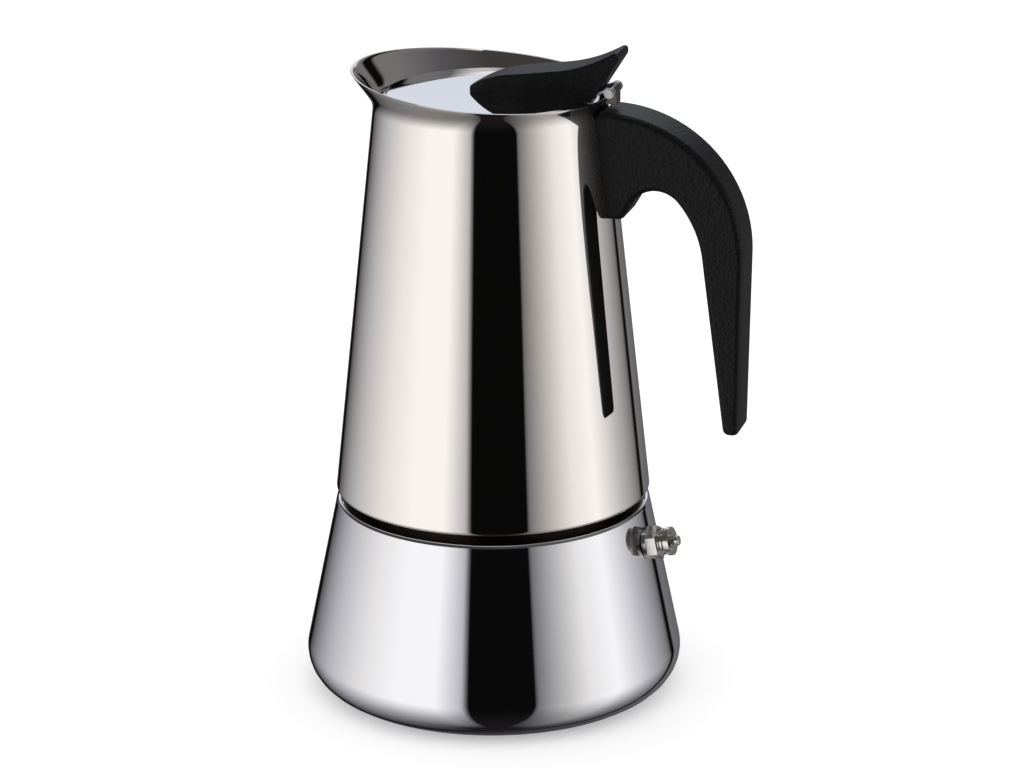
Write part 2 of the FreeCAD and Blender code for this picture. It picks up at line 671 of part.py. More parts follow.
def make_jug_floor():
    """Floor welded into the jug, domed towards the riser."""
    body = new_body("jug_floor")
    bore = "riser_foot_radius - riser_wall"
    crown_under = f"{CROWN_TOP} - floor_thickness"
    edge = f"{jug_radius(FLOOR_TOP)} - jug_wall - weld_gap"
    turn(body, [
        (bore, crown_under),
        (FLOOR_CROWN, crown_under),
        (FLOOR_RING, FLOOR_BOTTOM),
        (edge, FLOOR_BOTTOM),
        (edge, FLOOR_TOP),
        (FLOOR_RING, FLOOR_TOP),
        (FLOOR_CROWN, CROWN_TOP),
        (bore, CROWN_TOP),
    ])
    return body


def make_collar():
    """Threaded collar welded between the jug's floor and its turned-in edge."""
    body = new_body("thread_collar")
    foot = f"{JUG_BOTTOM} + jug_wall"
    outside = f"{COLLAR_BORE} + collar_wall"
    flange = f"{JUG_FOOT} - skirt_round - weld_gap"
    turn(body, [
        (COLLAR_BORE, foot),
        (flange, foot),
        (flange, f"{foot} + collar_flange"),
        (outside, f"{foot} + collar_flange"),
        (outside, FLOOR_BOTTOM),
        (COLLAR_BORE, FLOOR_BOTTOM),
    ])
    start = "(boiler_height + thread_start + thread_lead / 2)"
    thread(body, COLLAR_BORE, f"({NECK_RADIUS} + thread_clearance)", start)
    return body


def make_riser():
    """Tapered riser with a foot flange on the floor's crown and a spigot for its cap."""
    body = new_body("riser_tube")
    foot = f"{CROWN_TOP} + flange_thickness"
    spigot = "riser_top_radius - riser_wall / 2"
    spigot_top = f"{RISER_TOP} + spigot_height"
    turn(body, [
        ("riser_foot_radius - riser_wall", CROWN_TOP),
        ("riser_foot_radius + riser_flange", CROWN_TOP),
        ("riser_foot_radius + riser_flange", foot),
        ("riser_foot_radius", foot),
        ("riser_top_radius", RISER_TOP),
        (spigot, RISER_TOP),
        (spigot, spigot_top),
        ("riser_top_radius - riser_wall", spigot_top),
        ("riser_top_radius - riser_wall", RISER_TOP),
    ])
    return body


def make_riser_cap():
    """Domed cap with an outlet on each side, seated on the riser's step."""
    body = new_body("riser_cap")
    bore = "(riser_top_radius - riser_wall / 2 + press_clearance)"
    outside = f"({bore} + riser_wall)"
    spigot_top = f"{RISER_TOP} + spigot_height"
    crown = f"{spigot_top} + cap_height"
    turn(body, [
        (bore, RISER_TOP),
        (outside, RISER_TOP),
        (outside, crown),
        ("0", crown),
        ("0", f"{crown} - riser_wall"),
        (bore, f"{crown} - riser_wall"),
    ])
    round_edges(body, "cap_round", ring_edge(outside, crown))
    round_edges(body, "cap_round - riser_wall", ring_edge(bore, f"{crown} - riser_wall"))
    sill = f"{spigot_top} + hole_clearance"
    head = f"{sill} + window_height"
    windows = new_sketch(body, "XZ_Plane")
    cut(body, outline(windows, [
        ("-window_width / 2", sill),
        ("window_width / 2", sill),
        ("window_width / 2", head),
        ("-window_width / 2", head),
    ]))
    return body


def clear_of_jug(body):
    """Cut a piece back to the outside of the jug's wall and lip."""
    seam = f"{LIP_START} - lip_blend"
    brim = f"{LIP_START} + trim_hinge"
    turn_away(body, [
        ("0", JUG_BOTTOM),
        (JUG_FOOT, JUG_BOTTOM),
        (jug_radius(seam), seam),
        ("jug_neck_radius + lip_flare * lip_blend", f"{LIP_START} + lip_blend / 2"),
        ("jug_neck_radius + lip_flare * lip_reach", brim),
        ("0", brim),
    ])


def bracket_outline(body, room):
    """Side view of the bracket: a plate along the wall and a lug, grown by some room."""
    inside = "jug_neck_radius / 2"
    low = f"{BRACKET_BOTTOM} - {room}"
    high = f"{BRACKET_TOP} + {room}"
    under = f"{LUG_BOTTOM} - {room}"
    over = f"{LUG_BOTTOM} + lug_thickness + {room}"

    def face(height):
        return f"{jug_radius(f'({height})')} + bracket_thickness + {room}"

    return outline(new_sketch(body, "XZ_Plane"), [
        (inside, low),
        (face(low), low),
        (face(under), under),
        (f"{LUG_END} + {room}", under),
        (f"{LUG_END} + {room}", over),
        (face(over), over),
        (face(high), high),
        (inside, high),
    ])


def make_bracket():
    """Steel bracket welded to the jug, with a drilled lug inside the handle's root."""
    body = new_body("handle_bracket")
    pad(body, bracket_outline(body, "0"), "bracket_width", both_sides=True)
    clear_of_jug(body)
    drill = new_sketch(body, "XY_Plane", LUG_BOTTOM)
    cut(body, ring(drill, (ARCH_X, "0"), "screw_radius + press_clearance"), "lug_thickness * 4")
    return body


def touch_angle(centre, radius, point):
    """Angle at which a line from a point touches a circle, on the circle's outer side."""
    across = f"({point[0]} - {centre[0]})"
    up = f"({point[1]} - {centre[1]})"
    distance = f"sqrt({across} ^ 2 + {up} ^ 2)"
    return f"(atan2({up}; {across}) + acos({radius} / {distance}))"


def on_circle(centre, radius, angle):
    return f"({centre[0]} + {radius} * cos({angle}))", f"({centre[1]} + {radius} * sin({angle}))"


def handle_outline(body):
    """Side view of the handle: bow, tip, finger arch and root."""
    inside = "jug_neck_radius / 2"
    bow = (BOW_X, BOW_HEIGHT)
    bow_top = f"{BOW_HEIGHT} + handle_arc_radius"
    tip_outer = (TIP_OUTER, TIP_HEIGHT)
    tip_inner = (TIP_INNER, TIP_HEIGHT)
    bow_end = touch_angle(bow, "handle_arc_radius", tip_outer)
    arch = (ARCH_X, ARCH_HEIGHT)
    join = "(90 - arch_turn)"
    inside_middle = on_circle(arch, "(arch_radius - inside_radius)", join)
    inside_end = touch_angle(inside_middle, "inside_radius", tip_inner)
    heel = (ARCH_X, f"({ARCH_TOP} - heel_radius)")
    heel_end = on_circle(heel, "heel_radius", "180 - root_lean")
    return outline(new_sketch(body, "XZ_Plane"), [
        (inside, bow_top),
        (BOW_X, bow_top),
        ("arc", on_circle(bow, "handle_arc_radius", "45")),
        on_circle(bow, "handle_arc_radius", bow_end),
        tip_outer,
        tip_inner,
        on_circle(inside_middle, "inside_radius", inside_end),
        ("arc", on_circle(inside_middle, "inside_radius", f"({inside_end} + {join} * 1 deg) / 2")),
        on_circle(arch, "arch_radius", join),
        ("arc", on_circle(arch, "arch_radius", f"(90 + {join}) / 2")),
        (ARCH_X, ARCH_TOP),
        ("arc", on_circle(heel, "heel_radius", "120")),
        heel_end,
        (BLOCK_CORNER, BLOCK_BOTTOM),
        (inside, BLOCK_BOTTOM),
    ])


def taper_sides(body):
    """Narrow the handle evenly from its top down to its tip."""
    wide = "handle_width / 2"
    narrow = "handle_end_width / 2"
    top = f"{BOW_HEIGHT} + handle_arc_radius"
    for side in ("", "-"):
        cut(body, outline(new_sketch(body, "YZ_Plane"), [
            (f"{side}{wide}", top),
            (f"{side}{wide}", TIP_HEIGHT),
            (f"{side}{narrow}", TIP_HEIGHT),
        ]))


def long_edge(edge):
    """Edges of the handle that run along its outline, not across it."""
    return edge.BoundBox.YLength < size("handle_end_width") / 2


def make_handle():
    """Moulded handle with a bow, a finger arch and a socket for its bracket and screw."""
    body = new_body("handle_grip")
    pad(body, handle_outline(body), "handle_width", both_sides=True)
    taper_sides(body)
    round_edges(body, "block_round", cross_edge(BLOCK_CORNER, BLOCK_BOTTOM))
    round_edges(body, "handle_tip_round", cross_edge(TIP_OUTER, TIP_HEIGHT))
    round_edges(body, "handle_tip_round", cross_edge(TIP_INNER, TIP_HEIGHT))
    round_edges(body, "handle_round", long_edge)
    clear_of_jug(body)
    cut(body, bracket_outline(body, "socket_clearance"), "bracket_width + 2 * socket_clearance")
    bore = new_sketch(body, "XY_Plane", SCREW_SEAT)
    shank = ring(bore, (ARCH_X, "0"), "screw_radius + hole_clearance")
    cut(body, shank, f"2 * ({SCREW_LENGTH} + hole_clearance)")
    seat = new_sketch(body, "XY_Plane", f"{SCREW_SEAT} - arch_radius / 2")
    cut(body, ring(seat, (ARCH_X, "0"), "screw_head_radius + hole_clearance"), "arch_radius")
    return body


def make_handle_screw():
    """Screw from the finger arch up into the bracket's lug."""
    body = new_body("handle_screw")
    turn(body, [
        ("0", "-screw_head_height"),
        ("screw_head_radius", "-screw_head_height"),
        ("screw_head_radius", "0"),
        ("screw_radius", "0"),
        ("screw_radius", SCREW_LENGTH),
        ("0", SCREW_LENGTH),
    ])
    body.Placement = FreeCAD.Placement(Vector(size(ARCH_X), 0, size(SCREW_SEAT)), FreeCAD.Rotation())
    return body


HINGE = (HINGE_X, HINGE_HEIGHT)


def make_hinge_base():
    """Lug welded behind the lip, rolled into the middle knuckle."""
    body = new_body("hinge_base")
    inner = f"{HINGE_X} - knuckle_radius"
    outer = f"{HINGE_X} + knuckle_radius"
    low = f"{HINGE_HEIGHT} - base_leaf_drop"
    pad(body, outline(new_sketch(body, "XZ_Plane"), [
        (inner, low),
        (outer, low),
        (outer, HINGE_HEIGHT),
        (inner, HINGE_HEIGHT),
    ]), "knuckle_middle", both_sides=True)
    lip_side = "(lip_flare - lip_lean)"
    lip_top = f"jug_neck_radius + (lid_rise + hinge_rise) * ({lip_side} - {JUG_TAPER})"
    turn_away(body, [
        ("0", LIP_START),
        (f"jug_neck_radius + {lip_side} * lip_blend / 4 + weld_gap", LIP_START),
        (f"{lip_top} + weld_gap", HINGE_HEIGHT),
        ("0", HINGE_HEIGHT),
    ])
    pad(body, ring(new_sketch(body, "XZ_Plane"), HINGE, "knuckle_radius"), "knuckle_middle", both_sides=True)
    cut(body, ring(new_sketch(body, "XZ_Plane"), HINGE, "pin_radius + pin_clearance"))
    return body


def make_hinge_pin():
    """Riveted hinge pin along Y."""
    body = new_body("hinge_pin")
    half = "(hinge_width / 2 + knuckle_gap / 3)"
    end = f"{half} + pin_head_height"
    turn(body, [
        ("0", f"-{half} - pin_head_height"),
        ("pin_head_radius", f"-{half} - pin_head_height"),
        ("pin_head_radius", f"-{half}"),
        ("pin_radius", f"-{half}"),
        ("pin_radius", half),
        ("pin_head_radius", half),
        ("pin_head_radius", end),
        ("0", end),
    ])
    across = FreeCAD.Rotation(Vector(1, 0, 0), 90)
    body.Placement = FreeCAD.Placement(Vector(size(HINGE_X), 0, size(HINGE_HEIGHT)), across)
    return body


def make_lid():
    """Round lid with its edge turned down and two holes for the knob's screws."""
    body = new_body("lid_plate")
    rim = f"{LID_TOP} - lid_depth"
    inside = f"{LID_RADIUS} - lid_sheet"
    turn(body, [
        ("0", LID_UNDER),
        (inside, LID_UNDER),
        (inside, rim),
        (LID_RADIUS, rim),
        (LID_RADIUS, LID_TOP),
        ("0", LID_TOP),
    ])
    round_edges(body, "lid_round", ring_edge(LID_RADIUS, LID_TOP))
    round_edges(body, "lid_round - lid_sheet", ring_edge(inside, LID_UNDER))
    holes = new_sketch(body, "XY_Plane", LID_TOP)
    for place in knob_screw_places():
        ring(holes, place, "knob_screw_radius + hole_clearance")
    cut(body, holes)
    return body


def knob_screw_places():
    return [("knob_screw_x", "0"), ("knob_screw_x + knob_screw_pitch", "0")]


def leaf_under(x):
    """Height of the climbing leaf's lower face."""
    return f"({LID_TOP} + ({x} - {LEAF_BEND}) * {LEAF_SLOPE})"


def make_lid_leaf():
    """Leaf on the lid that climbs over the rim and is rolled into the two outer knuckles."""
    body = new_body("lid_hinge_leaf")
    foot_end = f"{LEAF_BEND} - leaf_foot"
    top = f"{LID_TOP} + leaf_thickness"
    end = f"({HINGE_X} - pin_radius)"
    pad(body, outline(new_sketch(body, "XZ_Plane"), [
        (foot_end, LID_TOP),
        (LEAF_BEND, LID_TOP),
        (end, leaf_under(end)),
        (end, f"{leaf_under(end)} + {LEAF_DEPTH}"),
        (f"{LEAF_BEND} - ({LEAF_DEPTH} - leaf_thickness) / {LEAF_SLOPE}", top),
        (foot_end, top),
    ]), "hinge_width", both_sides=True)
    pad(body, ring(new_sketch(body, "XZ_Plane"), HINGE, "knuckle_radius"), "hinge_width", both_sides=True)
    cut(body, ring(new_sketch(body, "XZ_Plane"), HINGE, "pin_radius + pin_clearance"))
    notch = ring(new_sketch(body, "XZ_Plane"), HINGE, "knuckle_radius + 2 * knuckle_gap")
    cut(body, notch, "knuckle_middle + 2 * knuckle_gap")
    return body


def heading(start, end):
    """Direction from one place to another."""
    return f"atan2({end[1]} - ({start[1]}); {end[0]} - ({start[0]}))"


def arc_middle(start, end, way):
    """Middle of the arc that leaves its start in a given direction."""
    across = f"({end[0]} - ({start[0]}))"
    up = f"({end[1]} - ({start[1]}))"
    bulge = f"(tan(({heading(start, end)} - {way}) / 2) / 2)"
    return (
        f"({start[0]} + {end[0]}) / 2 + {up} * {bulge}",
        f"({start[1]} + {end[1]}) / 2 - {across} * {bulge}",
    )


def knob_side(body):
    """Side view of the knob: a crown from its point, a straight top and a hollow up to the thumb piece."""
    nose = ("knob_nose_x", f"{LID_TOP} + knob_nose_height")
    crown = ("knob_crown_x", f"{LID_TOP} + knob_crown_height")
    waist = ("knob_waist_x", f"{LID_TOP} + knob_waist_height")
    tip = (KNOB_TIP, f"{LID_TOP} + knob_tip_height")
    return outline(new_sketch(body, "XZ_Plane"), [
        ("knob_nose_x", LID_TOP),
        nose,
        ("arc", arc_middle(crown, nose, heading(waist, crown))),
        crown,
        waist,
        ("arc", arc_middle(waist, tip, heading(crown, waist))),
        tip,
        (KNOB_TIP, f"{LID_TOP} + knob_tip_height - knob_tip_depth"),
        (KNOB_HEEL, LID_TOP),
    ])


def mirrored(place):
    """The same place on the other side of the XZ plane."""
    return place[0], f"-({place[1]})"


def knob_plan(body):
    """Plan of the knob, from its rounded point over its widest place to its end, inside a larger box."""
    point_x = "(knob_nose_x + knob_nose_round)"
    wide = ("knob_wide_x", "knob_half_width")
    tip = (KNOB_TIP, "knob_tip_half_width")
    run = f"(knob_wide_x - {point_x})"
    flank_radius = (
        f"(({run} ^ 2 + knob_half_width ^ 2 - knob_nose_round ^ 2)"
        " / (2 * (knob_half_width - knob_nose_round)))"
    )
    flank = ("knob_wide_x", f"(knob_half_width - {flank_radius})")
    touch = heading(flank, (point_x, "0"))
    side = on_circle(flank, flank_radius, f"(90 deg + {touch}) / 2")
    start = on_circle(flank, flank_radius, touch)
    back = arc_middle(wide, tip, "0 deg")
    plan = outline(new_sketch(body, "XY_Plane", LID_TOP), [
        tip,
        ("arc", back),
        wide,
        ("arc", side),
        start,
        ("arc", ("knob_nose_x", "0")),
        mirrored(start),
        ("arc", mirrored(side)),
        mirrored(wide),
        ("arc", mirrored(back)),
        mirrored(tip),
    ])
    left = "knob_nose_x - knob_half_width"
    right = f"{KNOB_TIP} + knob_half_width"
    corners = [(left, "-knob_half_width * 2"), (right, "-knob_half_width * 2")]
    return outline(plan, corners + [mirrored(corner) for corner in reversed(corners)])


def knob_upper_edge(edge):
    """Edges between the knob's top and its sides, round its point and across its end."""
    box = edge.BoundBox
    above = box.ZMin > size(f"{LID_TOP} + knob_nose_height") - 1e-3
    on_end = box.XMin > size(KNOB_TIP) - 1e-3
    end_top = box.ZMin > size(f"{LID_TOP} + knob_tip_height") - 1e-3
    across_top = box.XLength < 1e-3 and not on_end
    return above and not across_top and (end_top or not on_end)


def clear_of_leaf(body):
    """Slot under the knob's heel for the hinge leaf."""
    room = "hole_clearance"
    slot_end = f"{LEAF_BEND} - leaf_foot - {room}"
    slot_top = f"{LID_TOP} + leaf_thickness + {room}"
    bend = f"{LEAF_BEND} - ({LEAF_DEPTH} - leaf_thickness) / {LEAF_SLOPE}"
    cut(body, outline(new_sketch(body, "XZ_Plane"), [
        (slot_end, LID_TOP),
        (KNOB_TIP, LID_TOP),
        (KNOB_TIP, f"{leaf_under(KNOB_TIP)} + {LEAF_DEPTH} + {room}"),
        (bend, slot_top),
        (slot_end, slot_top),
    ]), f"hinge_width + 2 * {room}")


def make_knob():
    """Moulded knob, pointed at the spout end, upturned over the hinge, screwed on from below."""
    body = new_body("knob")
    pad(body, knob_side(body), "knob_half_width * 3", both_sides=True)
    cut(body, knob_plan(body))
    round_edges(body, "knob_round", knob_upper_edge)
    clear_of_leaf(body)
    pilot = new_sketch(body, "XY_Plane", LID_TOP)
    for place in knob_screw_places():
        ring(pilot, place, "knob_screw_radius + press_clearance")
    cut(body, pilot, "2 * (knob_screw_length + hole_clearance)")
    return body


def make_knob_screws():
    """Two screws that hold the knob from under the lid, as separate solids."""
    screws = []
    for number, place in enumerate(knob_screw_places(), start=1):
        head = doc.addObject("Part::Cylinder", f"knob_screw_head_{number}")
        tie(head, "Radius", "knob_head_radius")
        tie(head, "Height", "knob_head_height")
        tie(head, "Placement.Base.z", f"{LID_UNDER} - knob_head_height")
        shank = doc.addObject("Part::Cylinder", f"knob_screw_shank_{number}")
        tie(shank, "Radius", "knob_screw_radius")
        tie(shank, "Height", "lid_sheet + knob_screw_length + knob_head_height / 2")
        tie(shank, "Placement.Base.z", f"{LID_UNDER} - knob_head_height / 2")
        for item in (head, shank):
            tie(item, "Placement.Base.x", place[0])
        screw = doc.addObject("Part::Fuse", f"knob_screw_{number}")
        screw.Base = head
        screw.Tool = shank
        screws.append(screw)
    group = doc.addObject("Part::Compound", "knob_screws")
    group.Links = screws
    doc.recompute()
    return group


def make_valve_washer():
    """Flat washer between the boiler's wall and the valve's hexagon."""
    body = new_body("valve_washer")
    turn(body, [
        ("valve_shank + press_clearance", "seat_gap"),
        ("washer_radius", "seat_gap"),
        ("washer_radius", HEX_START),
        ("valve_shank + press_clearance", HEX_START),
    ])
    body.Placement = valve_place()
    return body


def ribbed_barrel():
    """Corners of the barrel's outside: three ribs with a groove between each pair."""
    step = "valve_barrel_length / 5"
    corners = []
    for i in range(5):
        radius = "valve_barrel" if i % 2 == 0 else "valve_barrel - rib_depth"
        corners.append((radius, f"{BARREL_START} + {step} * {i}"))
        corners.append((radius, f"{BARREL_START} + {step} * {i + 1}"))
    return corners


def make_valve_body():
    """Valve housing: threaded shank, hexagon, ribbed barrel, plunger seat and spring chamber."""
    body = new_body("valve_body")
    hex_corner = "valve_hex / 2 / cos(30)"
    turn(body, [
        ("valve_bore", "-valve_shank_length"),
        ("valve_shank", "-valve_shank_length"),
        ("valve_shank", HEX_START),
        (hex_corner, HEX_START),
        (hex_corner, BARREL_START),
        *ribbed_barrel(),
        ("valve_chamber", CAP_START),
        ("valve_chamber", "valve_seat"),
        ("valve_bore", "valve_seat"),
    ])
    flats = new_sketch(body, "XY_Plane", f"({HEX_START} + {BARREL_START}) / 2")
    hexagon(flats, "valve_hex")
    ring(flats, ("0", "0"), "valve_hex")
    cut(body, flats, "valve_hex_length")
    body.Placement = valve_place()
    return body


def make_valve_nut():
    """Nut on the shank, inside the boiler."""
    body = new_body("valve_nut")
    sketch = new_sketch(body, "XY_Plane", "-boiler_wall - nut_gap - nut_thickness")
    hexagon(sketch, "nut_hex")
    ring(sketch, ("0", "0"), "valve_shank + press_clearance")
    pad(body, sketch, "nut_thickness")
    body.Placement = valve_place()
    return body


def make_valve_cap():
    """End disc crimped on the barrel; the plunger's stem runs in its hole."""
    body = new_body("valve_cap")
    hole = "plunger_stem + plunger_fit"
    step = f"{CAP_START} + cap_disc_thickness"
    turn(body, [
        (hole, CAP_START),
        ("cap_disc_radius", CAP_START),
        ("cap_disc_radius", step),
        ("cap_boss_radius", step),
        ("cap_boss_radius", CAP_END),
        (hole, CAP_END),
    ])
    body.Placement = valve_place()
    return body


def make_valve_plunger():
    """Plunger: a head on the seat, a stem through the end disc and a button outside."""
    body = new_body("valve_plunger")
    head_top = "valve_seat + plunger_head_height"
    button = f"{CAP_END} + plunger_tip_gap"
    button_top = f"{button} + plunger_tip_height"
    turn(body, [
        ("0", "valve_seat"),
        ("plunger_head", "valve_seat"),
        ("plunger_head", head_top),
        ("plunger_stem", head_top),
        ("plunger_stem", button),
        ("plunger_tip", button),
        ("plunger_tip", button_top),
        ("0", button_top),
    ])
    round_edges(body, "plunger_tip_round", ring_edge("plunger_tip", button_top))
    body.Placement = valve_place()
    return body


def half_arc(start, tangent, end):
    """Arc from start, along its tangent there, to end."""
    chord = end - start
    along = Vector(chord).normalize()
    across = tangent - along * tangent.dot(along)
    bend = math.acos(max(-1.0, min(1.0, tangent.dot(along))))
    middle = start + chord * 0.5 + across.normalize() * (chord.Length / 2 * math.tan(bend / 2))
    return Part.Arc(start, middle, end).toShape()


def biarc(start, start_way, end, end_way):
    """Two tangent arcs that join two points and their directions."""
    span = end - start
    ways = start_way + end_way
    spread = 2 * (1 - start_way.dot(end_way))
    run = (-span.dot(ways) + math.sqrt(span.dot(ways) ** 2 + spread * span.dot(span))) / spread
    joint = (start + start_way * run + end - end_way * run) * 0.5
    second = half_arc(end, end_way * -1, joint)
    return [half_arc(start, start_way, joint), second]


def coil_points(radius, low, high, turns, per_turn):
    """Points and directions of a helix about Z, from a formula."""
    rise = (high - low) / (turns * 2 * math.pi)
    points = []
    for i in range(int(turns * per_turn) + 1):
        angle = 2 * math.pi * i / per_turn
        place = Vector(radius * math.cos(angle), radius * math.sin(angle), low + rise * angle)
        way = Vector(-radius * math.sin(angle), radius * math.cos(angle), rise).normalize()
        points.append((place, way))
    return points


def coil_gap(radius, low, high, turns, wire):
    """Least distance between the surfaces of neighbouring turns, measured on points."""
    per_turn = 36
    points = [place for place, way in coil_points(radius, low, high, turns, per_turn)]
    half = per_turn // 2
    gaps = [(a - b).Length for i, a in enumerate(points) for b in points[i + half:]]
    return min(gaps) - 2 * wire


def make_valve_spring():
    """Coil spring between the plunger's head and the end disc, one unbroken wire."""
    wire = size("spring_wire")
    radius = size("spring_radius")
    turns = size("spring_turns")
    low = size("valve_seat + plunger_head_height + spring_wire + spring_gap")
    high = size(f"{CAP_START} - spring_wire - spring_gap")
    points = coil_points(radius, low, high, turns, 4)
    edges = []
    for (start, start_way), (end, end_way) in zip(points, points[1:]):
        edges.extend(biarc(start, start_way, end, end_way))
    path = Part.Wire(Part.__sortEdges__(edges))
    section = Part.Wire(Part.Circle(points[0][0], points[0][1], wire).toShape())
    spring = doc.addObject("Part::Feature", "valve_spring")
    spring.Shape = path.makePipeShell([section], True, False)
    spring.Placement = valve_place()
    print("valve spring, least gap between turns:", round(coil_gap(radius, low, high, turns, wire), 3))
    return spring


PIECES = [
    make_boiler(),
    make_basket(),
    make_stem(),
    make_sieve(),
    make_gasket(),
    make_filter_plate(),
    make_jug_body(),
    make_jug_floor(),
    make_collar(),
    make_riser(),
    make_riser_cap(),
    make_bracket(),
    make_handle(),
    make_handle_screw(),
    make_hinge_base(),
    make_hinge_pin(),
    make_lid(),
    make_lid_leaf(),
    make_knob(),
    make_knob_screws(),
    make_valve_washer(),
    make_valve_body(),
    make_valve_nut(),
    make_valve_cap(),
    make_valve_plunger(),
    make_valve_spring(),
]


def check_document():
    """Stop if a feature failed or a piece has no valid solid."""
    doc.recompute()
    for item in doc.Objects:
        if {"Invalid", "Error"} & set(item.State):
            raise ValueError(f"{item.Label} failed: {item.State}")
    for piece in PIECES:
        shape = piece.Shape
        if shape.isNull() or not shape.isValid() or not shape.Solids:
            raise ValueError(f"{piece.Label} has no valid solid")


check_document()
os.makedirs("parts", exist_ok=True)
for piece in PIECES:
    piece.Shape.exportStep(f"parts/{piece.Label}.step")
    print(piece.Label, len(piece.Shape.Solids), "solid", round(piece.Shape.Volume, 1), "mm3")
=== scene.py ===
import math

import bmesh
import bpy
from mathutils import Matrix, Vector


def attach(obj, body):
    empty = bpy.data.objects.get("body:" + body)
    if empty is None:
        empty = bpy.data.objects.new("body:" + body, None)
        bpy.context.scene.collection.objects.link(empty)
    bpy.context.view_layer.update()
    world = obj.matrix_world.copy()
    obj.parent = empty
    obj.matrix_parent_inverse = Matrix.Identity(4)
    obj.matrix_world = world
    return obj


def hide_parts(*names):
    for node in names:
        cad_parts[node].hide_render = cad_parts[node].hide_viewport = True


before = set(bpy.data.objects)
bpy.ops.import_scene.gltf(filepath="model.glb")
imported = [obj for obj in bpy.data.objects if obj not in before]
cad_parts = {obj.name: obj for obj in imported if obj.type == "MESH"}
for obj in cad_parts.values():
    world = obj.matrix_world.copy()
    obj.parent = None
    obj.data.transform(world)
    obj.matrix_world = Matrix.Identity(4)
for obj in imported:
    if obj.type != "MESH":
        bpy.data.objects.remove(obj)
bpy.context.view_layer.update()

# Boiler: the lower vessel, deep-drawn from stainless sheet with a rounded foot and polished bright.
# Its shoulder steps in to a neck with one rolled ridge of thread that the jug screws onto.
MM = 0.001
TINY = 0.001
ROUND_STEPS = 10
SHADING_SUPPORT = 0.25
TURN_STEPS = 192
CREASE = math.radians(32)

BOILER_FOOT = 54.8
BOILER_TOP = 43.4
BOILER_HEIGHT = 54.7
BOILER_SHEET = 1.0
FOOT_ROUND = 10.3
SHOULDER_ROUND = 1.2
NECK_RADIUS = 36.6
NECK_TOP = 66.0
THREAD_LEAD = 4.0
THREAD_TURNS = 1.75
THREAD_START = 57.3
RIDGE_DEPTH = 1.0
RIDGE_FOOT = 2.0
RIDGE_CREST = 1.0
RIDGE_ROOT = 0.2
# Neck and inner-shoulder faces inside this radius, and above this depth under the shoulder's top, get a
# darker steel as painted shade for the groove.
PAINTED_SHADE_RADIUS = 40.0
PAINTED_SHADE_DEPTH = 0.05


def linear(colour):
    """Linear colour of an sRGB hex value."""
    shares = [int(colour[place:place + 2], 16) / 255 for place in (1, 3, 5)]
    return [s / 12.92 if s <= 0.04045 else ((s + 0.055) / 1.055) ** 2.4 for s in shares] + [1.0]


def add_node(tree, kind, links=None, values=None, **settings):
    """Adds a node, sets its properties and input values, and links its inputs to other sockets."""
    node = tree.nodes.new(kind)
    for name, setting in settings.items():
        setattr(node, name, setting)
    for name, value in (values or {}).items():
        node.inputs[name].default_value = value
    for name, socket in (links or {}).items():
        tree.links.new(socket, node.inputs[name])
    return node


def new_material(name, values):
    """Material with one surface shader, and that shader with its tree for what is linked to it."""
    material = bpy.data.materials.new(name)
    material.use_nodes = True
    tree = material.node_tree
    tree.nodes.clear()
    shader = add_node(tree, "ShaderNodeBsdfPrincipled", values=values)
    add_node(tree, "ShaderNodeOutputMaterial", {"Surface": shader.outputs["BSDF"]})
    return material, tree, shader


def polished_steel(name, colour):
    """Stainless steel buffed to a mirror: it shows the room, softened a little by the last polish."""
    material, tree, shader = new_material(name, {"Base Color": linear(colour), "Metallic": 1.0})
    place = add_node(tree, "ShaderNodeTexCoord")
    haze_size = 9 * MM
    haze = add_node(tree, "ShaderNodeTexNoise", {"Vector": place.outputs["Object"]},
                    {"Scale": 1 / haze_size, "Detail": 3.0})
    gloss = add_node(tree, "ShaderNodeMapRange", {"Value": haze.outputs["Fac"]},
                     {"From Min": 0.3, "From Max": 0.7, "To Min": 0.02, "To Max": 0.04})
    tree.links.new(gloss.outputs["Result"], shader.inputs["Roughness"])
    return material


def rounded_outline(corners):
    """Points of an outline of (radius, height, rounding) corners, in millimetres."""
    points = []
    for index, (radius, height, rounding) in enumerate(corners):
        corner = Vector((radius, height))
        if not rounding:
            points.append(corner)
            continue
        back = (Vector(corners[index - 1][:2]) - corner).normalized()
        onward = (Vector(corners[(index + 1) % len(corners)][:2]) - corner).normalized()
        half = back.angle(onward) / 2
        reach = rounding / math.tan(half)
        middle = corner + (back + onward).normalized() * rounding / math.sin(half)
        first = corner + back * reach - middle
        last = corner + onward * reach - middle
        points.append(middle + first + back * SHADING_SUPPORT)
        for step in range(ROUND_STEPS + 1):
            points.append(middle + first.lerp(last, step / ROUND_STEPS).normalized() * rounding)
        points.append(middle + last + onward * SHADING_SUPPORT)
    return points


def spin_outline(mesh, points):
    """Turns an outline about the pot's axis; one that starts and ends on the axis is left open there."""
    corners = [mesh.verts.new((point.x * MM, 0, point.y * MM)) for point in points]
    pairs = list(zip(corners, corners[1:]))
    if points[0].x > 0:
        pairs.append((corners[-1], corners[0]))
    edges = [mesh.edges.new(pair) for pair in pairs]
    bmesh.ops.spin(mesh, geom=corners + edges, cent=(0, 0, 0), axis=(0, 0, 1), angle=math.tau,
                   steps=TURN_STEPS, use_merge=True)


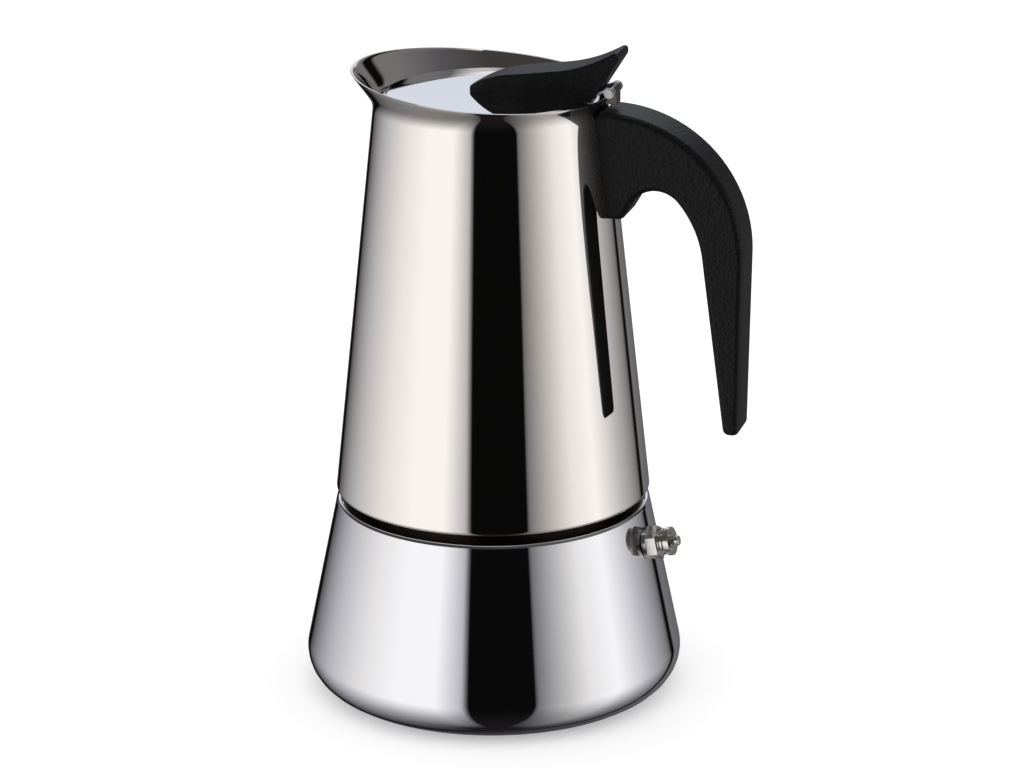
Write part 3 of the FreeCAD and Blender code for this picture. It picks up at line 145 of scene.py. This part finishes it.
def spin_ridge(mesh, root, crest, start):
    """Winds one ridge of thread round the axis, rooted a little inside its wall."""
    buried = root - RIDGE_ROOT
    section = [
        (buried, -RIDGE_FOOT / 2), (root, -RIDGE_FOOT / 2), (crest, -RIDGE_CREST / 2),
        (crest, RIDGE_CREST / 2), (root, RIDGE_FOOT / 2), (buried, RIDGE_FOOT / 2),
    ]
    corners = [mesh.verts.new((radius * MM, 0, (start + rise) * MM)) for radius, rise in section]
    face = mesh.faces.new(corners)
    steps = round(TURN_STEPS * THREAD_TURNS)
    bmesh.ops.spin(mesh, geom=[face] + list(face.edges) + corners, cent=(0, 0, 0), axis=(0, 0, 1),
                   angle=math.tau * THREAD_TURNS, steps=steps,
                   dvec=(0, 0, THREAD_LEAD * THREAD_TURNS * MM / steps))


def satin_steel(name, colour):
    """Stainless steel as rolled or cut: grey, with a broad soft gloss drawn out by fine lines."""
    material, tree, shader = new_material(name, {
        "Base Color": linear(colour),
        "Metallic": 1.0,
        "Roughness": 0.3,
    })
    place = add_node(tree, "ShaderNodeTexCoord")
    # Real rolling lines are too fine to show, so these are drawn coarser.
    line_width = 0.4 * MM
    line_length = 8 * MM
    stretch = add_node(tree, "ShaderNodeMapping", {"Vector": place.outputs["Object"]},
                       {"Scale": (1 / line_width, 1 / line_width, 1 / line_length)})
    lines = add_node(tree, "ShaderNodeTexNoise", {"Vector": stretch.outputs["Vector"]},
                     {"Scale": 1.0, "Detail": 2.0})
    relief = add_node(tree, "ShaderNodeBump", {"Height": lines.outputs["Fac"]},
                      {"Strength": 0.15, "Distance": 0.01 * MM})
    tree.links.new(relief.outputs["Normal"], shader.inputs["Normal"])
    return material


def add_piece(name, mesh, materials, body, slot, *nodes):
    """Finished piece on its body, in place of the CAD nodes that it stands for."""
    bmesh.ops.remove_doubles(mesh, verts=mesh.verts, dist=TINY * MM)
    bmesh.ops.recalc_face_normals(mesh, faces=mesh.faces)
    for face in mesh.faces:
        face.smooth = True
    for edge in mesh.edges:
        edge.smooth = edge.calc_face_angle(0) < CREASE
    data = bpy.data.meshes.new(name)
    mesh.to_mesh(data)
    mesh.free()
    for material in materials:
        data.materials.append(material)
    piece = bpy.data.objects.new(name, data)
    bpy.context.scene.collection.objects.link(piece)
    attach(piece, body)
    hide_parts(*nodes)


boiler_steel = polished_steel("polished_boiler_steel", "#f5f5f8")
# Dark brownish satin steel used as painted shade, in the groove under the jug's edge and in the gap under
# the hinge.
shade_painted_steel = satin_steel("shade_painted_satin_steel", "#6e665e")
mesh = bmesh.new()
spin_outline(mesh, rounded_outline([
    (0, 0, 0),
    (BOILER_FOOT, 0, FOOT_ROUND),
    (BOILER_TOP, BOILER_HEIGHT, SHOULDER_ROUND),
    (NECK_RADIUS, BOILER_HEIGHT, 0),
    (NECK_RADIUS, NECK_TOP, 0),
    (NECK_RADIUS - BOILER_SHEET, NECK_TOP, 0),
    (NECK_RADIUS - BOILER_SHEET, BOILER_HEIGHT - BOILER_SHEET, 0),
    (BOILER_TOP - BOILER_SHEET, BOILER_HEIGHT - BOILER_SHEET, 0),
    (BOILER_FOOT - BOILER_SHEET, BOILER_SHEET, FOOT_ROUND - BOILER_SHEET),
    (0, BOILER_SHEET, 0),
]))
spin_ridge(mesh, NECK_RADIUS, NECK_RADIUS + RIDGE_DEPTH, THREAD_START)
# The neck and the inner shoulder, under the jug's edge, get the dark satin steel: painted shade for the
# dark groove between boiler and jug.
painted_shade_line = BOILER_HEIGHT - PAINTED_SHADE_DEPTH
for face in mesh.faces:
    middle = face.calc_center_median() / MM
    face.material_index = int(middle.z > painted_shade_line and middle.xy.length < PAINTED_SHADE_RADIUS)
add_piece("pressed_boiler", mesh, (boiler_steel, shade_painted_steel), "base", "polished_steel", "boiler")

# Funnel, sieve and filter plate: thin stainless pressings that hold the coffee inside the pot.
# They are left with the satin finish of the rolled sheet, and so are the jug's hidden weldments.


def dress(material, *names):
    """Gives CAD nodes their material."""
    for name in names:
        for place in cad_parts[name].material_slots:
            place.material = material


rolled_steel = satin_steel("satin_rolled_steel", "#c9c9cc")
dress(rolled_steel, "funnel_basket", "funnel_stem", "funnel_sieve", "filter_plate", "jug_floor",
      "riser_tube", "riser_cap", "handle_bracket", "handle_screw", "knob_screws")
# The thread collar sits in the groove under the jug, so it gets the dark steel as painted shade.
dress(shade_painted_steel, "thread_collar")

# Gasket: a moulded ring of white silicone rubber that seals the jug on the basket's rim.
# It is soft and slightly clear, with a dull sheen.
silicone = new_material("moulded_silicone", {
    "Base Color": linear("#d9d5cc"),
    "Roughness": 0.55,
    "IOR": 1.41,
    "Subsurface Weight": 0.15,
    "Subsurface Scale": 1 * MM,
})[0]
dress(silicone, "gasket")

# Safety valve: brass turned from hexagon bar and nickelled, screwed through the boiler's wall
# with a washer outside and a nut inside; a steel spring holds its plunger shut.
VALVE_NODES = ("valve_washer", "valve_body", "valve_nut", "valve_cap", "valve_plunger")


def nickelled_brass():
    """Nickel plate over turned brass: bright and slightly yellow, worn warmer in small patches."""
    material, tree, shader = new_material("nickelled_brass", {"Metallic": 1.0, "Roughness": 0.21})
    place = add_node(tree, "ShaderNodeTexCoord")
    patch_size = 1.5 * MM
    wear = add_node(tree, "ShaderNodeTexNoise", {"Vector": place.outputs["Object"]},
                    {"Scale": 1 / patch_size, "Detail": 3.0})
    tint = add_node(tree, "ShaderNodeMix", {"Factor": wear.outputs["Fac"]}, data_type="RGBA")
    tint.inputs["A"].default_value = linear("#f6f5f2")
    tint.inputs["B"].default_value = linear("#e4dfd4")
    tree.links.new(tint.outputs["Result"], shader.inputs["Base Color"])
    return material


dress(nickelled_brass(), *VALVE_NODES)
# Drawn wire: plain grey metal with a soft gloss.
spring_steel = new_material("drawn_spring_steel", {
    "Base Color": linear("#a8a8ac"),
    "Metallic": 1.0,
    "Roughness": 0.3,
})[0]
dress(spring_steel, "valve_spring")

# Jug: the upper vessel, a tapered wall of stainless sheet polished bright, its lower edge turned in.
# The wall is flared at the top and trimmed to a lip that rises towards the spout.
JUG_BOTTOM = 57.0
JUG_FOOT = 43.6
JUG_NECK = 31.7
LIP_START = 167.0
JUG_SHEET = 0.9
SKIRT_ROUND = 1.2
SKIRT_RETURN = 2.8
LIP_BLEND = 2.2
LIP_FLARE = 0.708
LIP_LEAN = 0.15
RIM_SPOUT = 9.0
RIM_MIDDLE = 4.9
RIM_HINGE = 2.7
RIM_SPAN = 41.996
RIM_ROUND = 0.25
RIM_STEP = 0.3
RIM_STEP_HEIGHT = 0.99
RIM_PASSES = 20
LIP_ROWS = 14
JUG_TAPER = (JUG_FOOT - JUG_NECK) / (LIP_START - JUG_BOTTOM)
RIM_SLOPE = (RIM_HINGE - RIM_SPOUT) / 2 / RIM_SPAN
RIM_BOW = ((RIM_HINGE + RIM_SPOUT) / 2 - RIM_MIDDLE) / RIM_SPAN ** 2


def jug_radius(height):
    """Outside of the jug's wall at a height."""
    return JUG_NECK + (LIP_START - height) * JUG_TAPER


def lip_place(rise):
    """Radius and middle of the lip at a rise above the start of the flare."""
    if rise < LIP_BLEND:
        run = LIP_BLEND * (rise / LIP_BLEND + 1) ** 2 / 4
    else:
        run = rise
    return JUG_NECK - rise * JUG_TAPER + run * LIP_FLARE, -run * LIP_LEAN


def rim_rise(angle):
    """Rise of the trimmed rim on one side of the jug."""
    rise = RIM_MIDDLE
    for _ in range(RIM_PASSES):
        radius, middle = lip_place(rise)
        along = middle + radius * math.cos(angle)
        rise = RIM_MIDDLE + RIM_SLOPE * along + RIM_BOW * along ** 2
    return rise


def flare_lip(mesh):
    """Moves the rows above the wall out to the flare, each up to the trimmed rim on its side."""
    seam = LIP_START - LIP_BLEND
    rims = {}
    for vert in mesh.verts:
        share = (vert.co.z / MM - seam) / LIP_BLEND
        if share < TINY:
            continue
        angle = round(math.atan2(vert.co.y, vert.co.x), 6)
        if angle not in rims:
            rims[angle] = rim_rise(angle)
        inset = jug_radius(seam) - math.hypot(vert.co.x, vert.co.y) / MM
        rise = share * (rims[angle] + LIP_BLEND) - LIP_BLEND
        radius, middle = lip_place(rise)
        vert.co.x = (middle + (radius - inset) * math.cos(angle)) * MM
        vert.co.y = (radius - inset) * math.sin(angle) * MM
        vert.co.z = (LIP_START + rise) * MM


jug_steel = polished_steel("polished_jug_steel", "#f8f3ee")
seam = LIP_START - LIP_BLEND
seam_radius = jug_radius(seam)
edge = JUG_FOOT - SKIRT_RETURN
lip_rows = [LIP_BLEND * row / LIP_ROWS for row in range(1, LIP_ROWS)]
wall = rounded_outline([
    (edge, JUG_BOTTOM, 0),
    (JUG_FOOT, JUG_BOTTOM, SKIRT_ROUND),
    (seam_radius, seam, 0),
    (seam_radius - JUG_SHEET, seam, 0),
    (JUG_FOOT - JUG_SHEET, JUG_BOTTOM + JUG_SHEET, SKIRT_ROUND - JUG_SHEET),
    (edge, JUG_BOTTOM + JUG_SHEET, 0),
])
top = [index for index, point in enumerate(wall) if abs(point.y - seam) < TINY]
outer_lip = [Vector((seam_radius, seam + rise)) for rise in lip_rows]
inner_lip = [Vector((seam_radius - JUG_SHEET, seam + rise)) for rise in reversed(lip_rows)]
rim = [
    Vector((seam_radius - RIM_ROUND * RIM_STEP, seam + LIP_BLEND * RIM_STEP_HEIGHT)),
    Vector((seam_radius - RIM_ROUND, seam + LIP_BLEND)),
    Vector((seam_radius - JUG_SHEET + RIM_ROUND, seam + LIP_BLEND)),
    Vector((seam_radius - JUG_SHEET + RIM_ROUND * RIM_STEP, seam + LIP_BLEND * RIM_STEP_HEIGHT)),
]
mesh = bmesh.new()
spin_outline(mesh, wall[:top[0] + 1] + outer_lip + rim + inner_lip + wall[top[1]:])
flare_lip(mesh)
add_piece("jug_wall", mesh, (jug_steel,), "jug", "polished_steel", "jug_body")

# Handle and knob: black thermosetting plastic, moulded with a fine even grain.
# Each is screwed on from a side that is out of sight.


def moulded_plastic():
    """Black thermoset with a grained mould's dull skin: charcoal where it faces the light."""
    material, tree, shader = new_material("moulded_black_plastic", {
        "Roughness": 0.36,
        "IOR": 1.5,
        "Specular IOR Level": 0.22,
    })
    place = add_node(tree, "ShaderNodeTexCoord")
    # The real grain is too fine to show, so it is drawn coarser.
    grain_size = 0.9 * MM
    grain = add_node(tree, "ShaderNodeTexNoise", {"Vector": place.outputs["Object"]},
                     {"Scale": 1 / grain_size, "Detail": 3.0})
    tint = add_node(tree, "ShaderNodeMix", {"Factor": grain.outputs["Fac"]}, data_type="RGBA")
    tint.inputs["A"].default_value = linear("#020203")
    tint.inputs["B"].default_value = linear("#161618")
    relief = add_node(tree, "ShaderNodeBump", {"Height": grain.outputs["Fac"]},
                      {"Strength": 0.8, "Distance": 0.3 * MM})
    tree.links.new(tint.outputs["Result"], shader.inputs["Base Color"])
    tree.links.new(relief.outputs["Normal"], shader.inputs["Normal"])
    return material


black_plastic = moulded_plastic()
dress(black_plastic, "handle_grip", "knob")

# Lid: a round of stainless sheet with its edge turned down, polished like the jug.
# Its hinge is two curled leaves of strip steel on a riveted pin.
LID_RADIUS = 29.6
LID_TOP = 169.3
LID_RIM = 167.1
LID_ROUND = 1.9
LID_SHEET = 0.8

lid_steel = polished_steel("polished_lid_steel", "#f3f5f9")
mesh = bmesh.new()
spin_outline(mesh, rounded_outline([
    (0, LID_TOP, 0),
    (LID_RADIUS, LID_TOP, LID_ROUND),
    (LID_RADIUS, LID_RIM, 0),
    (LID_RADIUS - LID_SHEET, LID_RIM, 0),
    (LID_RADIUS - LID_SHEET, LID_TOP - LID_SHEET, LID_ROUND - LID_SHEET),
    (0, LID_TOP - LID_SHEET, 0),
]))
add_piece("lid_disc", mesh, (lid_steel,), "lid", "polished_steel", "lid_plate")
dress(rolled_steel, "hinge_pin", "lid_hinge_leaf")
# The hinge base gets the dark steel as painted shade for the gap under the hinge, between lip, knob and
# handle.
dress(shade_painted_steel, "hinge_base")

# Stage: a white sweep in a studio whose soft boxes stand to the left and right of the camera.
# The dark gap between them, where the camera stands, shows as the black stripe down the steel.
FLOOR_SIZE = 4.0
CAMERA_PLACE = Vector((0.2796, -0.9751, 0.4129))
CAMERA_TURN = math.radians(15.696)
CAMERA_DIP = math.radians(17.848)
CAMERA_ROLL = math.radians(-0.275)
CAMERA_LENS = 135.61
SENSOR_WIDTH = 36.0
PAPER_LIFT = 0.26
LIGHT_BELOW = 0.35
LIGHT_ABOVE = 1.35
BLACK_CARD = "#0a0a0a"
DARK_FLOOR = "#1c1a1b"
SHADE = "#3e3c3c"
DIM_WALL = "#56565a"
GREY_WALL = "#747476"
PALE_WALL = "#bcbcc0"
COOL_BOX = "#dee1e9"
BOX_EDGE = "#eeecea"
TOP_BOX = "#f4f4f6"
SOFT_BOX = "#ffffff"


def lit_floor():
    """Matt white paper: white to the camera where the light is open, grey in the pot's shadow."""
    material = bpy.data.materials.new("white_paper_sweep")
    material.use_nodes = True
    tree = material.node_tree
    tree.nodes.clear()
    paper = add_node(tree, "ShaderNodeBsdfDiffuse", values={"Color": linear("#f2f2f2")})
    rays = add_node(tree, "ShaderNodeLightPath")
    lift = add_node(tree, "ShaderNodeMath", {0: rays.outputs["Is Camera Ray"]}, {1: PAPER_LIFT},
                    operation="MULTIPLY")
    glow = add_node(tree, "ShaderNodeEmission", {"Strength": lift.outputs["Value"]})
    both = add_node(tree, "ShaderNodeAddShader", {0: paper.outputs["BSDF"], 1: glow.outputs["Emission"]})
    add_node(tree, "ShaderNodeOutputMaterial", {"Surface": both.outputs["Shader"]})
    return material


def ramp(tree, factor, stops):
    """Grey levels along a factor, as (place, sRGB hex) stops."""
    band = add_node(tree, "ShaderNodeValToRGB", {"Fac": factor})
    steps = band.color_ramp.elements
    steps[0].position, steps[0].color = stops[0][0], linear(stops[0][1])
    steps[1].position, steps[1].color = stops[-1][0], linear(stops[-1][1])
    for position, colour in stops[1:-1]:
        steps.new(position).color = linear(colour)
    return band


def bearing_stops(stops):
    """Stops of a ramp round the pot, from bearings in degrees to the right of the camera."""
    return [(angle / 360 + 0.5, grey) for angle, grey in stops]


def height_stops(stops):
    """Stops of a ramp from straight down to straight up, from heights in degrees over the horizon."""
    return [(angle / 180 + 0.5, grey) for angle, grey in stops]


def light_studio():
    """World: white to the camera, even light on matt things, soft boxes and dark gaps in the metal."""
    world = bpy.data.worlds.new("studio")
    bpy.context.scene.world = world
    world.use_nodes = True
    tree = world.node_tree
    tree.nodes.clear()
    place = add_node(tree, "ShaderNodeTexCoord")
    towards_camera = math.atan2(CAMERA_PLACE.y, CAMERA_PLACE.x)
    facing = add_node(tree, "ShaderNodeMapping", {"Vector": place.outputs["Generated"]},
                      {"Rotation": (0, 0, -towards_camera)})
    around = add_node(tree, "ShaderNodeTexGradient", {"Vector": facing.outputs["Vector"]},
                      gradient_type="RADIAL")
    walls = ramp(tree, around.outputs["Fac"], bearing_stops([
        (-180, DIM_WALL), (-168, DIM_WALL), (-166, BLACK_CARD), (-157, BLACK_CARD), (-153, DIM_WALL),
        (-118, PALE_WALL), (-84, BOX_EDGE), (-60, SOFT_BOX), (-36, SOFT_BOX), (-20, PALE_WALL),
        (-16, BLACK_CARD), (24, BLACK_CARD), (26, GREY_WALL), (60, BOX_EDGE), (80, SOFT_BOX),
        (108, PALE_WALL), (134, GREY_WALL), (138, BLACK_CARD), (142, BLACK_CARD), (145, GREY_WALL),
        (180, DIM_WALL),
    ]))
    upper = ramp(tree, around.outputs["Fac"], bearing_stops([
        (-180, COOL_BOX), (-160, COOL_BOX), (-152, SHADE), (0, SHADE), (60, DIM_WALL), (110, GREY_WALL),
        (128, GREY_WALL), (133, BLACK_CARD), (143, BLACK_CARD), (147, GREY_WALL), (154, GREY_WALL),
        (160, COOL_BOX), (180, COOL_BOX),
    ]))
    split = add_node(tree, "ShaderNodeSeparateXYZ", {"Vector": place.outputs["Generated"]})
    rise = add_node(tree, "ShaderNodeMath", {0: split.outputs["Z"]}, operation="ARCSINE")
    height = add_node(tree, "ShaderNodeMapRange", {"Value": rise.outputs["Value"]},
                      {"From Min": -math.pi / 2, "From Max": math.pi / 2})
    floor_share = ramp(tree, height.outputs["Result"], height_stops([
        (-82.8, "#000000"), (-62.1, "#8f8f8f"), (-48.6, "#b4b4b4"), (-36, "#d9d9d9"), (-18, "#ffffff"),
    ]))
    upper_share = ramp(tree, height.outputs["Result"], height_stops([(8.1, "#000000"), (13.5, "#ffffff")]))
    top_share = ramp(tree, height.outputs["Result"], height_stops([(72, "#000000"), (82.8, "#ffffff")]))
    lower = add_node(tree, "ShaderNodeMix", {"Factor": floor_share.outputs["Color"],
                                             "B": walls.outputs["Color"]}, data_type="RGBA")
    lower.inputs["A"].default_value = linear(DARK_FLOOR)
    sides = add_node(tree, "ShaderNodeMix", {"Factor": upper_share.outputs["Color"],
                                             "A": lower.outputs["Result"],
                                             "B": upper.outputs["Color"]}, data_type="RGBA")
    room = add_node(tree, "ShaderNodeMix", {"Factor": top_share.outputs["Color"],
                                            "A": sides.outputs["Result"]}, data_type="RGBA")
    room.inputs["B"].default_value = linear(TOP_BOX)
    overhead = add_node(tree, "ShaderNodeMapRange", {"Value": split.outputs["Z"]},
                        {"To Min": LIGHT_BELOW, "To Max": LIGHT_ABOVE})
    rays = add_node(tree, "ShaderNodeLightPath")
    lit = add_node(tree, "ShaderNodeMix", {"Factor": rays.outputs["Is Glossy Ray"],
                                           "A": overhead.outputs["Result"],
                                           "B": room.outputs["Result"]}, data_type="RGBA")
    seen = add_node(tree, "ShaderNodeMix", {"Factor": rays.outputs["Is Camera Ray"],
                                            "A": lit.outputs["Result"]}, data_type="RGBA")
    seen.inputs["B"].default_value = (1, 1, 1, 1)
    light = add_node(tree, "ShaderNodeBackground", {"Color": seen.outputs["Result"]})
    add_node(tree, "ShaderNodeOutputWorld", {"Surface": light.outputs["Background"]})


mesh = bmesh.new()
bmesh.ops.create_grid(mesh, x_segments=1, y_segments=1, size=FLOOR_SIZE)
data = bpy.data.meshes.new("sweep")
mesh.to_mesh(data)
mesh.free()
data.materials.append(lit_floor())
sweep = bpy.data.objects.new("sweep", data)
bpy.context.scene.collection.objects.link(sweep)
sweep.visible_glossy = False

light_studio()
bpy.context.scene.view_settings.view_transform = "Standard"

lens = bpy.data.cameras.new("camera")
lens.lens = CAMERA_LENS
lens.sensor_width = SENSOR_WIDTH
camera = bpy.data.objects.new("camera", lens)
camera.matrix_world = (
    Matrix.Translation(CAMERA_PLACE)
    @ Matrix.Rotation(CAMERA_TURN, 4, "Z")
    @ Matrix.Rotation(math.pi / 2 - CAMERA_DIP, 4, "X")
    @ Matrix.Rotation(CAMERA_ROLL, 4, "Z")
)
bpy.context.scene.collection.objects.link(camera)
bpy.context.scene.camera = camera
